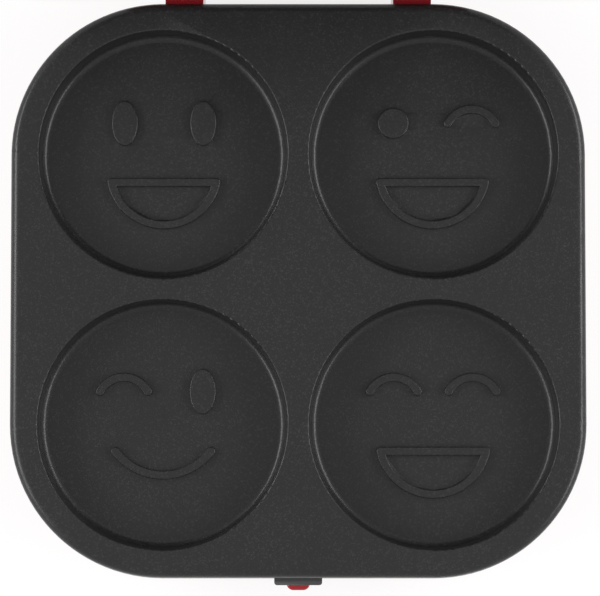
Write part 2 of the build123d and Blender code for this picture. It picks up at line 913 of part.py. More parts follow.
def lid_run_height():
    """Height of the wiring above the upper heat shield, with the lid shut."""
    return lid_face - shield_face(recess_depth) + shield_thickness + lid_block_height / 2


def link_place():
    """Sideways place of the sleeved pair inside the left arm."""
    return arm_inner + pin_reach + channel_width / 2 + channel_skin


def arm_space():
    """Pin hole and wiring channel of the right arm."""
    hole_end = arm_inner + pin_reach + hole_spare
    hole = cross_rod(pin_diameter + 2 * pin_clearance, arm_inner, hole_end, hinge_y, hinge_z)
    half = channel_width / 2
    run = lid_run_height()
    rise_y = hinge_y - channel_step
    points = [
        (hinge_y - half, hinge_z - half),
        (hinge_y + half, hinge_z - half),
        (hinge_y + half, hinge_z + 2),
        (rise_y + half, hinge_z + channel_bend),
        (rise_y + half, run + half),
        (shell_half - 1.5 * arm_root, run + half),
        (shell_half - 1.5 * arm_root, run - half),
        (rise_y - half, run - half),
        (rise_y - half, hinge_z + channel_bend),
        (hinge_y - half, hinge_z + 2),
    ]
    place = link_place()
    return hole + side_profile(points, place - half, place + half)


def make_lid_link():
    """Sleeved pair from the left hinge pin through the arm to the lid's terminal block."""
    run = lid_run_height()
    x = -link_place()
    rise_y = hinge_y - channel_step
    block_x = -block_side - 4
    points = [
        (-tower_outer - side_gap / 2, hinge_y, hinge_z),
        (x, hinge_y, hinge_z),
        (x, rise_y, hinge_z + channel_bend),
        (x, rise_y, run),
        (x, lid_block_behind + 34, run),
        (block_x, lid_block_behind + 18, run),
        (block_x, lid_block_behind + block_depth / 2, run),
    ]
    return tube(points, link_diameter, [4.5, 6, 5.5, 12, 6])


def holder_top():
    """Top of the lamp holder, under the lamps."""
    return lens_flange_top() - lens_flange_thickness - lamp_gap - lamp_length


def lens_flange_top():
    """Height of the lens flange, just clear of the lid's inside."""
    reach = lens_flange / 2
    return crown_at(lens_side + reach, lens_front + reach, shell_wall) - screw_seat_gap


def make_lid_shell():
    boss_end = lid_face - shield_face(recess_depth) + shield_thickness
    room = dome(shell_wall, lid_round - shell_wall)
    for x, y in post_places:
        room -= rod(boss_diameter, boss_end, lid_top, x, y)
    for side in (-1, 1):
        room -= rod(holder_post, holder_top(), lid_top, side * holder_post_side, -lens_front)
    shell = dome(0, lid_round)
    for part in both_sides(arm()):
        shell += part
    shell -= room
    for space in both_sides(arm_space()):
        shell -= space
    for x, y in post_places:
        shell -= rod(screw_shank + 2 * screw_clearance, boss_end, boss_end + screw_grip + hole_spare, x, y)
    for side in (-1, 1):
        bore_end = holder_top() + small_screw_grip + hole_spare
        shell -= rod(small_shank, holder_top(), bore_end, side * holder_post_side, -lens_front)
        lens_hole = lens_diameter + 2 * screw_clearance
        shell -= rod(lens_hole, lens_flange_top(), lid_top, side * lens_side, -lens_front)
        hole = screw_shank + 2 * screw_clearance
        shell -= deep_rod(hole, -half_side, -shell_half + 3 * shell_wall, side * handle_screw_side, latch_z)
    return shell


def make_handle():
    root = arm_root - shell_half
    half = handle_width / 2
    tip_half = half - handle_taper
    points = [(-half, root), (half, root), (tip_half, -handle_front), (-tip_half, -handle_front)]
    outline = make_face(Polyline(*points, close=True))
    outline = fillet(outline.vertices().sort_by(Axis.Y)[:2], handle_corner)
    body = extrude(Pos(0, 0, handle_bottom) * outline, handle_thickness)
    flats = body.edges().group_by(Axis.Z)
    rims = [edge for edge in flats[0] + flats[-1] if edge.center().Y < root - 0.1]
    body = fillet(rims, handle_round)
    body -= dome(0, lid_round)
    slot_half = latch_width / 2 + latch_slot_gap
    slot_back = latch_y + latch_knuckle / 2 + latch_slot_gap
    body -= block(-slot_half, slot_half, -handle_front, slot_back, handle_bottom, handle_top)
    pin_half = slot_half + latch_pin_grip
    body -= cross_rod(latch_pin_diameter, -pin_half, pin_half, latch_y, latch_z)
    for side in (-1, 1):
        hole = screw_shank + 2 * screw_clearance
        body -= deep_rod(hole, -lid_wall(latch_z) - screw_grip, root, side * handle_screw_side, latch_z)
    return body


def make_handle_screws():
    seat = lid_wall(latch_z + screw_head / 2) - shell_wall - screw_seat_gap
    screw = pan_screw(screw_shank, screw_head, screw_head_height, shell_wall + screw_grip)
    return [screw_out(screw, side * handle_screw_side, seat, latch_z) for side in (-1, 1)]


def make_latch_pin():
    half = latch_width / 2 + latch_slot_gap + latch_pin_grip
    return cross_rod(latch_pin_diameter, -half, half, latch_y, latch_z)


def make_latch_clip():
    """Clip that hangs from the handle and hooks under the base's catch."""
    inner = latch_y + latch_thickness / 2
    outer = latch_y - latch_thickness / 2
    tip = -(catch_front - hook_reach)
    points = [
        (inner, latch_z),
        (inner, hook_top),
        (tip, hook_top),
        (tip, hook_bottom + hook_lead_in),
        (tip - hook_lead_in, hook_bottom),
        (outer - thumb_reach, hook_bottom),
        (outer - thumb_reach, hook_bottom + thumb_thickness),
        (outer, hook_bottom + thumb_rise),
        (outer, latch_z),
    ]
    half = latch_width / 2
    body = side_profile(points, -half, half)
    across = body.edges().filter_by(Axis.X)
    low_edges = [edge for edge in across if edge.center().Z < hook_bottom + thumb_rise + 1]
    thumb = [edge for edge in low_edges if edge.center().Y < outer + 0.1]
    body = fillet(thumb, 1.0)
    body += cross_rod(latch_knuckle, -half, half, latch_y, latch_z)
    return body - cross_rod(latch_pin_diameter + 2 * pin_clearance, -half, half, latch_y, latch_z)


def make_upper_screws():
    tip = shield_face(recess_depth) - shield_thickness - screw_grip
    screw = sunk_screw(screw_shank, screw_head, -tip)
    return [in_lid(Pos(x, y, 0) * Rot(180, 0, 0) * screw) for x, y in post_places]


def make_lens(side):
    """Round indicator lens with its flange inside the lid."""
    x = side * lens_side
    top = crown_at(x, lens_front, 0) + lens_proud
    flange_top = lens_flange_top()
    flange_low = flange_top - lens_flange_thickness
    stem = rod(lens_diameter, flange_low, top, x, -lens_front)
    stem = fillet(stem.edges().group_by(Axis.Z)[-1], lens_proud)
    return stem + rod(lens_flange, flange_low, flange_top, x, -lens_front)


def make_lamps():
    bottom = holder_top()
    bulbs = []
    for side in (-1, 1):
        bulb = rod(lamp_diameter, bottom, bottom + lamp_length, side * lens_side, -lens_front)
        bulbs.append(fillet(bulb.edges().group_by(Axis.Z)[-1], lamp_diameter * 0.4))
    return bulbs


def make_lamp_holder():
    top = holder_top()
    outline = Pos(0, -lens_front, top) * RectangleRounded(holder_width, holder_depth, holder_corner)
    board = extrude(outline, -holder_thickness)
    hole = small_shank + 2 * screw_clearance
    for side in (-1, 1):
        board -= rod(hole, top - holder_thickness, top, side * holder_post_side, -lens_front)
    return board


def make_holder_screws():
    low = holder_top() - holder_thickness
    shank = small_shank - screw_clearance
    screw = pan_screw(shank, small_head, small_head_height, holder_thickness + small_screw_grip)
    return [Pos(side * holder_post_side, -lens_front, low) * screw for side in (-1, 1)]


def make_lid_block():
    far = lid_face - shield_face(recess_depth) + shield_thickness
    left = -block_side - block_length / 2
    front = lid_block_behind - block_depth / 2
    body = block(left, left + block_length, front, front + block_depth, far, far + lid_block_height)
    return fillet(body.edges().filter_by(Axis.Z), block_round)


def make_lid_leads():
    """Leads from the lid's terminal block to the element and the lamps."""
    run = lid_run_height()
    front = lid_block_behind - block_depth / 2
    left = -block_side - block_length / 2
    element = lid_face - heater_centre(recess_depth)
    pin_end = well_pitch / 2 - heater_end_run - terminal_length
    leads = []
    for side, start_x, bend_y in ((-1, -block_side - core_side, 44), (1, 4 - block_side, 50)):
        end_x = side * heater_end_side
        points = [
            (start_x, front, run),
            (start_x, bend_y, run),
            (end_x, pin_end - 10, run),
            (end_x, pin_end - 10, element),
            (end_x, pin_end, element),
        ]
        leads.append(tube(points, lead_diameter, [6, 4, 4]))
    holder_middle = holder_top() - holder_thickness / 2
    points = [
        (left, lid_block_behind, run),
        (left - 13, lid_block_behind, run),
        (left - 13, -lens_front + 24, run),
        (-holder_width / 2 - 14, -lens_front, holder_middle),
        (-holder_width / 2, -lens_front, holder_middle),
    ]
    leads.append(tube(points, lead_diameter, [8, 10, 8]))
    return leads


base_nodes = {
    "base_shell": make_base_shell(),
    "base_cover": make_base_cover(),
    "base_cover_screws": make_cover_screws(),
    "feet": make_feet(),
    "lower_plate": in_base(make_lower_plate()),
    "lower_plate_screws": make_plate_screws(),
    "lower_heater": in_base(make_heater(well_depth)),
    "lower_heater_terminals": [in_base(pin) for pin in make_heater_terminals(well_depth)],
    "lower_heater_clamps": [in_base(strap) for strap in make_clamps(well_depth)],
    "lower_clamp_screws": [in_base(screw) for screw in make_clamp_screws(well_depth)],
    "lower_heat_shield": in_base(make_heat_shield(well_depth)),
    "thermostat": make_thermostat(),
    "thermostat_screws": make_thermostat_screws(),
    "thermal_fuse": make_fuse(),
    "fuse_clip": make_fuse_clip(),
    "terminal_block": make_terminal_block(),
    "cord_gland": make_gland(),
    "gland_nut": make_gland_nut(),
    "supply_leads": make_supply_leads(),
    "base_leads": make_base_leads(),
    "base_link_lead": make_base_link(),
    "front_catch": make_front_catch(),
    "catch_screws": make_catch_screws(),
    "hinge_pins": make_hinge_pins(),
}
lid_nodes = {
    "lid_shell": make_lid_shell(),
    "upper_plate": in_lid(make_upper_plate()),
    "upper_plate_screws": make_upper_screws(),
    "upper_heater": in_lid(make_heater(recess_depth)),
    "upper_heater_terminals": [in_lid(pin) for pin in make_heater_terminals(recess_depth)],
    "upper_heater_clamps": [in_lid(strap) for strap in make_clamps(recess_depth)],
    "upper_clamp_screws": [in_lid(screw) for screw in make_clamp_screws(recess_depth)],
    "upper_heat_shield": in_lid(make_heat_shield(recess_depth)),
    "lid_terminal_block": make_lid_block(),
    "lid_link_lead": make_lid_link(),
    "lid_leads": make_lid_leads(),
    "lid_handle": make_handle(),
    "handle_screws": make_handle_screws(),
    "latch_pin": make_latch_pin(),
    "power_lens": make_lens(-1),
    "ready_lens": make_lens(1),
    "lamp_holder": make_lamp_holder(),
    "holder_screws": make_holder_screws(),
    "indicator_lamps": make_lamps(),
}
latch_nodes = {"latch_clip": make_latch_clip()}


def swing_latch(shape):
    """From hooked to swung out, with the lid shut."""
    return shape.rotate(Axis((0, latch_y, latch_z), (1, 0, 0)), -latch_rest_angle)


def open_lid(shape):
    """From shut to standing upright on its stops."""
    return shape.rotate(hinge_axis, -90)


def as_list(shape):
    return shape if isinstance(shape, list) else [shape]


def save(name, shape):
    """Move a node to the model's origin and write it."""
    solids = [to_origin * solid for item in as_list(shape) for solid in item.solids()]
    export_step(Compound(solids) if len(solids) > 1 else solids[0], f"parts/{name}.step")


os.makedirs("parts", exist_ok=True)
for name, shape in base_nodes.items():
    save(name, shape)
for name, shape in lid_nodes.items():
    save(name, [open_lid(item) for item in as_list(shape)])
for name, shape in latch_nodes.items():
    save(name, [open_lid(swing_latch(item)) for item in as_list(shape)])
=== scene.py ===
import json
import math

import bpy
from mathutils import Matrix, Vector


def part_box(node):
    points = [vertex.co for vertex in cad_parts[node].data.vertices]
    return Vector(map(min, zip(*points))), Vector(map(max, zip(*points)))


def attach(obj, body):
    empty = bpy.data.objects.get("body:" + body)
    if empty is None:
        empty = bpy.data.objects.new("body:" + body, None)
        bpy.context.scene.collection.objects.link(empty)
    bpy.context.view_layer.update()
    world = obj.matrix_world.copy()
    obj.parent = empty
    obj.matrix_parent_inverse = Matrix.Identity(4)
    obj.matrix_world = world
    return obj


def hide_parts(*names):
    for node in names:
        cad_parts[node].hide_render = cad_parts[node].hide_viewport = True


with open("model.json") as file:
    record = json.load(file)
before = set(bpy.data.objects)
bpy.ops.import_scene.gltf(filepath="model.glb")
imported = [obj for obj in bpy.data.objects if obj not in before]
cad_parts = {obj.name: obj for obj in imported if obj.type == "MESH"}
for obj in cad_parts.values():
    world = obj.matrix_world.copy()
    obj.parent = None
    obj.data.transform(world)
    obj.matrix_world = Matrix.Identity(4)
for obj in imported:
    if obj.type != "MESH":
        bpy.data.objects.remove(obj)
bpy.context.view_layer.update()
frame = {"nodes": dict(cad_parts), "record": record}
print("frame loaded")

mm = 0.001
plateLow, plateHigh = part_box("lower_plate")
plateMiddle = (plateLow + plateHigh) / 2


def clearSelection():
    if bpy.context.object and bpy.context.object.mode != "OBJECT":
        bpy.ops.object.mode_set(mode="OBJECT")
    bpy.ops.object.select_all(action="DESELECT")


def pick(piece):
    clearSelection()
    piece.select_set(True)
    bpy.context.view_layer.objects.active = piece


# Small helpers for node trees


def addNode(tree, kind, **settings):
    made = tree.nodes.new(kind)
    for key, value in settings.items():
        setattr(made, key, value)
    return made


def wire(tree, start, end):
    tree.links.new(start, end)


def mathNode(tree, operation, first, second=None):
    made = addNode(tree, "ShaderNodeMath", operation=operation)
    for place, value in enumerate((first, second)):
        if value is None:
            continue
        if isinstance(value, (int, float)):
            made.inputs[place].default_value = value
        else:
            wire(tree, value, made.inputs[place])
    return made.outputs[0]


def mapRange(tree, value, fromLow, fromHigh, toLow, toHigh):
    made = addNode(tree, "ShaderNodeMapRange")
    wire(tree, value, made.inputs["Value"])
    ends = {"From Min": fromLow, "From Max": fromHigh, "To Min": toLow, "To Max": toHigh}
    for name, number in ends.items():
        made.inputs[name].default_value = number
    return made.outputs["Result"]


def noiseNode(tree, place, scale, detail, rough):
    made = addNode(tree, "ShaderNodeTexNoise")
    wire(tree, place, made.inputs["Vector"])
    made.inputs["Scale"].default_value = scale
    made.inputs["Detail"].default_value = detail
    made.inputs["Roughness"].default_value = rough
    return made.outputs["Fac"]


def mixColour(tree, mask, first, second):
    # A colour mix has its two colours at inputs 6 and 7, and its result at output 2
    made = addNode(tree, "ShaderNodeMix", data_type="RGBA")
    wire(tree, mask, made.inputs["Factor"])
    for place, value in ((6, first), (7, second)):
        if isinstance(value, (tuple, list)):
            made.inputs[place].default_value = (*value, 1.0)
        else:
            wire(tree, value, made.inputs[place])
    return made.outputs[2]


def bumpNode(tree, height, distance, strength):
    made = addNode(tree, "ShaderNodeBump")
    made.inputs["Strength"].default_value = strength
    made.inputs["Distance"].default_value = distance
    wire(tree, height, made.inputs["Height"])
    return made.outputs["Normal"]


def mappingNode(tree, place, **settings):
    made = addNode(tree, "ShaderNodeMapping")
    for key, value in settings.items():
        made.inputs[key].default_value = value
    wire(tree, place, made.inputs["Vector"])
    return made.outputs[0]


def makeGroup(name, inputs, outputs):
    group = bpy.data.node_groups.new(name, "ShaderNodeTree")
    for label, kind, value in inputs:
        socket = group.interface.new_socket(name=label, in_out="INPUT", socket_type=kind)
        if value is not None:
            socket.default_value = value
    for label, kind in outputs:
        group.interface.new_socket(name=label, in_out="OUTPUT", socket_type=kind)
    start = addNode(group, "NodeGroupInput")
    end = addNode(group, "NodeGroupOutput")
    return group, start.outputs, end.inputs


# Effects that several finishes share. A noise is given as its scale, detail and roughness

grainLook = {
    "usualScale": 1000.0,
    "detail": 2.0,
}


def makeGrainGroup():
    # Fine moulded or sprayed grain: one height and one mask, at a given grain size
    group, given, wanted = makeGroup(
        "surfaceGrain",
        [("Place", "NodeSocketVector", None), ("Scale", "NodeSocketFloat", grainLook["usualScale"])],
        [("Height", "NodeSocketFloat"), ("Fleck", "NodeSocketFloat")],
    )
    noise = addNode(group, "ShaderNodeTexNoise")
    noise.inputs["Detail"].default_value = grainLook["detail"]
    cells = addNode(group, "ShaderNodeTexVoronoi")
    for texture in (noise, cells):
        wire(group, given["Place"], texture.inputs["Vector"])
        wire(group, given["Scale"], texture.inputs["Scale"])
    split = addNode(group, "ShaderNodeSeparateColor")
    wire(group, cells.outputs["Color"], split.inputs[0])
    wire(group, noise.outputs["Fac"], wanted["Height"])
    wire(group, split.outputs[0], wanted["Fleck"])
    return group


handlingLook = {
    "usualLow": 0.2,
    "usualHigh": 0.3,
    "smearNoise": (14.0, 5.0, 0.6),
    "smearRange": (0.35, 0.7),
    "markNoise": (1.0, 6.0, 0.7),
    "markRange": (0.4, 0.7),
    "markStretch": (260.0, 22.0, 60.0),
    "markTurn": (0.3, 0.2, 0.7),
    "betweenMarks": 0.4,  # how much of a smear is left there
}


def makeHandlingGroup():
    # Broad smears with a few fine marks in them, where hands and cloths have been
    look = handlingLook
    group, given, wanted = makeGroup(
        "handlingMarks",
        [
            ("Place", "NodeSocketVector", None),
            ("Low", "NodeSocketFloat", look["usualLow"]),
            ("High", "NodeSocketFloat", look["usualHigh"]),
        ],
        [("Roughness", "NodeSocketFloat"), ("Mask", "NodeSocketFloat")],
    )
    smear = noiseNode(group, given["Place"], *look["smearNoise"])
    drawn = mappingNode(group, given["Place"], Scale=look["markStretch"], Rotation=look["markTurn"])
    marks = noiseNode(group, drawn, *look["markNoise"])
    broad = mapRange(group, smear, *look["smearRange"], 0.0, 1.0)
    fine = mapRange(group, marks, *look["markRange"], look["betweenMarks"], 1.0)
    both = mathNode(group, "MULTIPLY", broad, fine)
    spread = mathNode(group, "SUBTRACT", given["High"], given["Low"])
    rise = mathNode(group, "MULTIPLY", both, spread)
    wire(group, mathNode(group, "ADD", given["Low"], rise), wanted["Roughness"])
    wire(group, both, wanted["Mask"])
    return group


grainGroup = makeGrainGroup()
handlingGroup = makeHandlingGroup()


def useGroup(tree, group, place, **values):
    made = addNode(tree, "ShaderNodeGroup", node_tree=group)
    wire(tree, place, made.inputs["Place"])
    for name, value in values.items():
        made.inputs[name].default_value = value
    return made.outputs


def useHandling(tree, place, roughness):
    low, high = roughness
    return useGroup(tree, handlingGroup, place, Low=low, High=high)


def newFinish(name, **sockets):
    finish = bpy.data.materials.new(name)
    finish.use_nodes = True
    tree = finish.node_tree
    shader = tree.nodes["Principled BSDF"]
    for key, value in sockets.items():
        shader.inputs[key.replace("_", " ")].default_value = value
    place = addNode(tree, "ShaderNodeTexCoord").outputs["Object"]
    return finish, tree, shader, place


# Non-stick coat of the two cooking plates: speckled, with oily clouds

nonStickLook = {
    "colour": (0.0125, 0.0125, 0.013),
    "fleck": (0.038, 0.038, 0.039),
    "oiled": (0.0098, 0.0094, 0.009),
    "shine": 0.25,
    "roughness": (0.27, 0.42),
    "grainScale": 1900.0,
    "grainDepth": 0.05 * mm,
    "grainStrength": 0.8,
    "plainShare": 0.72,  # of the grains have no fleck
    "fleckStrength": 0.5,
    "cloudNoise": (22.0, 4.0, 0.55),
    "cloudRange": (0.4, 0.75),
    "cloudStrength": 0.45,
}


def makeNonStick():
    look = nonStickLook
    finish, tree, shader, place = newFinish("nonStickCoat", Specular_IOR_Level=look["shine"])
    grain = useGroup(tree, grainGroup, place, Scale=look["grainScale"])
    marks = useHandling(tree, place, look["roughness"])
    flecks = mapRange(tree, grain["Fleck"], look["plainShare"], 1.0, 0.0, look["fleckStrength"])
    speckled = mixColour(tree, flecks, look["colour"], look["fleck"])
    cloud = noiseNode(tree, place, *look["cloudNoise"])
    oil = mapRange(tree, cloud, *look["cloudRange"], 0.0, look["cloudStrength"])
    bump = bumpNode(tree, grain["Height"], look["grainDepth"], look["grainStrength"])
    wire(tree, mixColour(tree, oil, speckled, look["oiled"]), shader.inputs["Base Color"])
    wire(tree, marks["Roughness"], shader.inputs["Roughness"])
    wire(tree, bump, shader.inputs["Normal"])
    return finish


# Glossy red of the housings, with a slight orange peel

redShellLook = {
    "colour": (0.31, 0.004, 0.01),
    "deep": (0.22, 0.002, 0.006),
    "shine": 0.35,
    "coat": 0.1,
    "coatRoughness": 0.06,
    "roughness": (0.1, 0.24),
    "cloudNoise": (9.0, 3.0, 0.5),
    "cloudRange": (0.35, 0.7),
    "cloudStrength": 0.6,
    "peelNoise": (240.0, 2.0, 0.5),
    "peelDepth": 0.012 * mm,
    "peelStrength": 0.5,
}


def makeRedShell():
    look = redShellLook
    finish, tree, shader, place = newFinish(
        "glossRed",
        Specular_IOR_Level=look["shine"],
        Coat_Weight=look["coat"],
        Coat_Roughness=look["coatRoughness"],
    )
    marks = useHandling(tree, place, look["roughness"])
    cloud = noiseNode(tree, place, *look["cloudNoise"])
    depth = mapRange(tree, cloud, *look["cloudRange"], 0.0, look["cloudStrength"])
    peel = noiseNode(tree, place, *look["peelNoise"])
    bump = bumpNode(tree, peel, look["peelDepth"], look["peelStrength"])
    wire(tree, mixColour(tree, depth, look["colour"], look["deep"]), shader.inputs["Base Color"])
    wire(tree, marks["Roughness"], shader.inputs["Roughness"])
    wire(tree, bump, shader.inputs["Normal"])
    return finish


# Grained surfaces: plastic, rubber and steatite, lighter where they have been handled

satinBlackLook = {
    "colour": (0.016, 0.016, 0.017),
    "light": (0.03, 0.03, 0.031),
    "roughness": (0.3, 0.46),
    "grainScale": 2600.0,
    "grainDepth": 0.03 * mm,
}
footRubberLook = {
    "colour": (0.02, 0.02, 0.021),
    "light": (0.05, 0.048, 0.045),
    "roughness": (0.62, 0.85),
    "grainScale": 1500.0,
    "grainDepth": 0.05 * mm,
}
steatiteLook = {
    "colour": (0.7, 0.67, 0.6),
    "light": (0.55, 0.5, 0.42),
    "roughness": (0.45, 0.65),
    "grainScale": 1800.0,
    "grainDepth": 0.03 * mm,
}
grainedLook = {
    "patchStrength": 0.6,
    "grainStrength": 0.7,
}


def makeGrained(name, look):
    finish, tree, shader, place = newFinish(name)
    grain = useGroup(tree, grainGroup, place, Scale=look["grainScale"])
    marks = useHandling(tree, place, look["roughness"])
    patch = mathNode(tree, "MULTIPLY", marks["Mask"], grainedLook["patchStrength"])
    bump = bumpNode(tree, grain["Height"], look["grainDepth"], grainedLook["grainStrength"])
    wire(tree, mixColour(tree, patch, look["colour"], look["light"]), shader.inputs["Base Color"])
    wire(tree, marks["Roughness"], shader.inputs["Roughness"])
    wire(tree, bump, shader.inputs["Normal"])
    return finish


# Drawn or pressed metal: fine lines along one way and a faint tint in clouds

zincSteelLook = {
    "colour": (0.6, 0.6, 0.61),
    "tint": (0.5, 0.49, 0.45),
    "roughness": (0.22, 0.4),
    "lineStretch": (900.0, 900.0, 90.0),
}
elementSheathLook = {
    "colour": (0.2, 0.18, 0.17),
    "tint": (0.12, 0.1, 0.12),
    "roughness": (0.4, 0.62),
    "lineStretch": (500.0, 500.0, 500.0),
}
aluminisedSheetLook = {
    "colour": (0.62, 0.62, 0.61),
    "tint": (0.5, 0.5, 0.5),
    "roughness": (0.28, 0.46),
    "lineStretch": (40.0, 700.0, 700.0),
}
metalLook = {
    "lineNoise": (1.0, 4.0, 0.6),
    "lineRange": (0.3, 0.7),
    "lineDepth": 0.01 * mm,
    "lineStrength": 0.4,
    "cloudNoise": (60.0, 4.0, 0.5),
    "cloudRange": (0.35, 0.7),
    "cloudStrength": 0.8,
}


def makeMetal(name, look):
    finish, tree, shader, place = newFinish(name, Metallic=1.0)
    drawn = mappingNode(tree, place, Scale=look["lineStretch"])
    lines = noiseNode(tree, drawn, *metalLook["lineNoise"])
    cloud = noiseNode(tree, place, *metalLook["cloudNoise"])
    tint = mapRange(tree, cloud, *metalLook["cloudRange"], 0.0, metalLook["cloudStrength"])
    rough = mapRange(tree, lines, *metalLook["lineRange"], *look["roughness"])
    bump = bumpNode(tree, lines, metalLook["lineDepth"], metalLook["lineStrength"])
    wire(tree, mixColour(tree, tint, look["colour"], look["tint"]), shader.inputs["Base Color"])
    wire(tree, rough, shader.inputs["Roughness"])
    wire(tree, bump, shader.inputs["Normal"])
    return finish


# Glass-fibre sleeve: a fine two-way braid round each lead, with painted shade in the braid's hollows

sleeveLook = {
    "hollow": (0.42, 0.4, 0.35),
    "raised": (0.68, 0.66, 0.6),
    "roughness": 0.7,
    "braidScale": 420.0,
    "braidTurn": 0.8,
    "braidDepth": 0.08 * mm,
    "braidStrength": 0.7,
}


def makeSleeve():
    look = sleeveLook
    finish, tree, shader, place = newFinish("fibreSleeve", Roughness=look["roughness"])
    braid = []
    for turn in (look["braidTurn"], -look["braidTurn"]):
        wave = addNode(tree, "ShaderNodeTexWave")
        wave.inputs["Scale"].default_value = look["braidScale"]
        wire(tree, mappingNode(tree, place, Rotation=(turn, turn, turn)), wave.inputs["Vector"])
        braid.append(wave.outputs["Fac"])
    weave = mathNode(tree, "MULTIPLY", *braid)
    bump = bumpNode(tree, weave, look["braidDepth"], look["braidStrength"])
    # painted shade: the low parts of the braid are given a darker colour
    wire(tree, mixColour(tree, weave, look["hollow"], look["raised"]), shader.inputs["Base Color"])
    wire(tree, bump, shader.inputs["Normal"])
    return finish


# Lenses and lamp glass: tinted, with small facets, each with painted shade towards its edges

lensLook = {
    "red": (0.62, 0.05, 0.008),
    "green": (0.03, 0.45, 0.08),
    "amber": (0.8, 0.6, 0.45),
    "clear": 0.2,
    "ior": 1.49,
    "roughness": (0.08, 0.2),
    "facetScale": 900.0,
    "facetReach": 0.6,
    "facetDepth": 0.03 * mm,
    "facetStrength": 0.5,
    "edgeShade": 0.55,
}


def makeLensFinish(name, colour):
    look = lensLook
    finish, tree, shader, place = newFinish(name, Transmission_Weight=look["clear"], IOR=look["ior"])
    facets = addNode(tree, "ShaderNodeTexVoronoi")
    facets.inputs["Scale"].default_value = look["facetScale"]
    wire(tree, place, facets.inputs["Vector"])
    depth = mapRange(tree, facets.outputs["Distance"], 0.0, look["facetReach"], 0.0, 1.0)
    # painted shade: each facet's colour darkens towards its edges
    paintedEdgeShade = tuple(part * look["edgeShade"] for part in colour)
    rough = mapRange(tree, depth, 0.0, 1.0, *look["roughness"])
    bump = bumpNode(tree, depth, look["facetDepth"], look["facetStrength"])
    wire(tree, mixColour(tree, depth, colour, paintedEdgeShade), shader.inputs["Base Color"])
    wire(tree, rough, shader.inputs["Roughness"])
    wire(tree, bump, shader.inputs["Normal"])
    return finish


finishes = {
    "nonstick": makeNonStick(),
    "red_shell": makeRedShell(),
    "black_plastic": makeGrained("satinBlack", satinBlackLook),
    "rubber": makeGrained("footRubber", footRubberLook),
    "ceramic": makeGrained("steatite", steatiteLook),
    "steel": makeMetal("zincSteel", zincSteelLook),
    "heater_sheath": makeMetal("elementSheath", elementSheathLook),
    "shield_sheet": makeMetal("aluminisedSheet", aluminisedSheetLook),
    "lead_sleeve": makeSleeve(),
    "red_lens": makeLensFinish("redLens", lensLook["red"]),
    "green_lens": makeLensFinish("greenLens", lensLook["green"]),
    "lamp_glass": makeLensFinish("lampGlass", lensLook["amber"]),
}
print("finishes made:", len(finishes))

# The record says which slot each node takes its finish from, and which body it belongs to
slotOfNode = {part["node"]: part["material_slot"] for part in frame["record"]["subparts"]}
nodesOfBody = frame["record"]["behaviour"]["bodies"]
bodyOfNode = {name: body for body, names in nodesOfBody.items() for name in names}


def dressNode(piece, finish):
    piece.data.materials.clear()
    piece.data.materials.append(finish)


mergeWithin = 0.02 * mm  # corners this close become one


def smoothCopy(name, turn):
    # The node's own shape, with its triangles merged and its round faces shaded smooth
    original = frame["nodes"][name]
    piece = bpy.data.objects.new(name + "_shaded", original.data.copy())
    bpy.context.scene.collection.objects.link(piece)
    pick(piece)
    bpy.ops.object.mode_set(mode="EDIT")
    bpy.ops.mesh.select_all(action="SELECT")
    bpy.ops.mesh.remove_doubles(threshold=mergeWithin)
    bpy.ops.object.mode_set(mode="OBJECT")
    bpy.ops.object.shade_smooth_by_angle(angle=math.radians(turn))
    bpy.ops.object.modifier_add(type="WEIGHTED_NORMAL")
    piece.modifiers[-1].keep_sharp = True
    bpy.ops.object.modifier_apply(modifier=piece.modifiers[-1].name)
    dressNode(piece, finishes[slotOfNode[name]])
    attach(piece, bodyOfNode[name])
    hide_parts(name)
    return piece


# Widest turn between two faces, in degrees, that still shades as one curve
shadedNodes = {
    "base_shell": 16,
    "lid_shell": 16,
    "lower_plate": 33,
    "upper_plate": 33,
    "base_cover": 24,
    "feet": 30,
    "front_catch": 24,
    "cord_gland": 24,
    "gland_nut": 24,
    "lid_handle": 24,
    "latch_clip": 24,
    "hinge_pins": 30,
    "power_lens": 30,
    "ready_lens": 30,
    "lower_heater": 30,
    "upper_heater": 30,
}
for name, part in frame["nodes"].items():
    dressNode(part, finishes[slotOfNode[name]])
for name, turn in shadedNodes.items():
    smoothCopy(name, turn)
print("nodes dressed:", len(frame["nodes"]))


def whiteForView(tree, shaded, white, share=1.0):
    # Cameras, reflections and clear plastic see the backdrop whiter than it lights the object
    path = addNode(tree, "ShaderNodeLightPath")
    seen = mathNode(tree, "MAXIMUM", path.outputs["Is Camera Ray"], path.outputs["Is Transmission Ray"])
    seen = mathNode(tree, "MAXIMUM", seen, path.outputs["Is Glossy Ray"])
    seen = mathNode(tree, "MULTIPLY", seen, share)
    mixer = addNode(tree, "ShaderNodeMixShader")
    wire(tree, seen, mixer.inputs[0])
    wire(tree, shaded, mixer.inputs[1])
    wire(tree, white, mixer.inputs[2])
    return mixer.outputs[0]


# Plain pale floor. Most of what the camera sees of it is plain white, and the rest keeps the shadow

floorLook = {
    "size": 6.0,
    "colour": (0.88, 0.88, 0.88),
    "roughness": 0.6,
    "whiteShare": 0.8,
}


def makeFloor():
    look = floorLook
    bpy.ops.mesh.primitive_plane_add(size=look["size"])
    floor = bpy.context.object
    floor.name = "studioFloor"
    surface = bpy.data.materials.new("studioFloor")
    surface.use_nodes = True
    tree = surface.node_tree
    shader = tree.nodes["Principled BSDF"]
    shader.inputs["Base Color"].default_value = (*look["colour"], 1.0)
    shader.inputs["Roughness"].default_value = look["roughness"]
    white = addNode(tree, "ShaderNodeEmission")
    seen = whiteForView(tree, shader.outputs[0], white.outputs[0], look["whiteShare"])
    wire(tree, seen, tree.nodes["Material Output"].inputs["Surface"])
    floor.data.materials.append(surface)


# Soft light from all round, with a bright strip low on the left and the right

